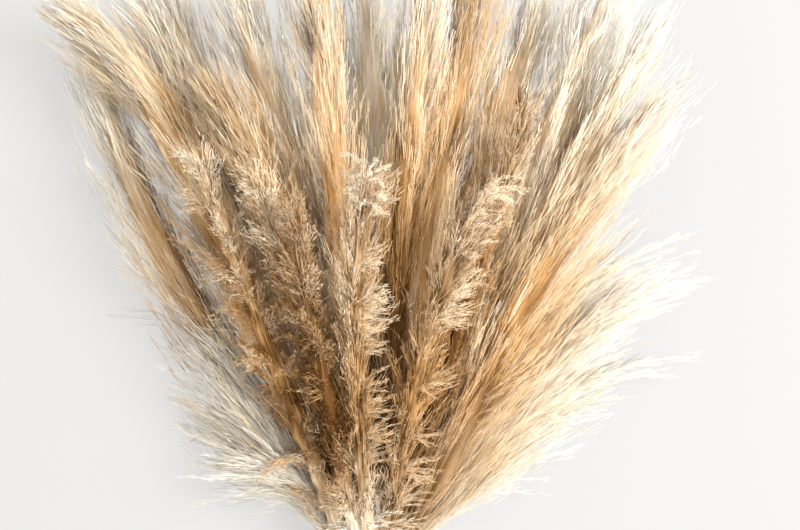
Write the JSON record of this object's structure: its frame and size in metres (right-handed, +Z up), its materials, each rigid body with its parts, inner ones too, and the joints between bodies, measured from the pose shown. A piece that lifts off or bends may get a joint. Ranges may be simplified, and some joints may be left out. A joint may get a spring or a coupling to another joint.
{
  "type": "bundle of pampas grass",
  "caption": "Bundle of dried pampas grass lying on its side: slim cut stems tied with twine, fanning out into long feathery cream and tan plumes.",
  "frame": {"origin": "on the table surface, under the middle of the bundle's box", "axes": "+Y along the stems from the cut ends to the plume tips, +Z up from the table, +X to the right as seen from above with the plumes pointing away"},
  "size_m": [0.7438, 1.1316, 0.2916],
  "materials": {
    "culm": "dry straw-coloured stem with a slight waxy sheen, greenish yellow near the plumes",
    "plume": "matt silky hairs in cream, beige and tan",
    "twine": "matt twisted jute"
  },
  "bodies": {
    "root": {"culm_a1": "culm", "plume_a1": "plume", "culm_a2": "culm", "plume_a2": "plume", "culm_a3": "culm", "plume_a3": "plume", "culm_a4": "culm", "plume_a4": "plume", "culm_b1": "culm", "plume_b1": "plume", "culm_b2": "culm", "plume_b2": "plume", "culm_b3": "culm", "plume_b3": "plume", "culm_b4": "culm", "plume_b4": "plume", "culm_b5": "culm", "plume_b5": "plume", "culm_c1": "culm", "plume_c1": "plume", "culm_c2": "culm", "plume_c2": "plume", "culm_c3": "culm", "plume_c3": "plume", "culm_c4": "culm", "plume_c4": "plume", "culm_c5": "culm", "plume_c5": "plume", "culm_c6": "culm", "plume_c6": "plume", "culm_d1": "culm", "plume_d1": "plume", "culm_d2": "culm", "plume_d2": "plume", "culm_d3": "culm", "plume_d3": "plume", "culm_d4": "culm", "plume_d4": "plume", "culm_d5": "culm", "plume_d5": "plume", "culm_d6": "culm", "plume_d6": "plume", "culm_e1": "culm", "plume_e1": "plume", "culm_e2": "culm", "plume_e2": "plume", "culm_e3": "culm", "plume_e3": "plume", "culm_e4": "culm", "plume_e4": "plume", "culm_f1": "culm", "plume_f1": "plume", "culm_f2": "culm", "plume_f2": "plume", "culm_f3": "culm", "plume_f3": "plume", "twine_winding": "twine", "twine_knot": "twine"}
  },
  "joints": []
}
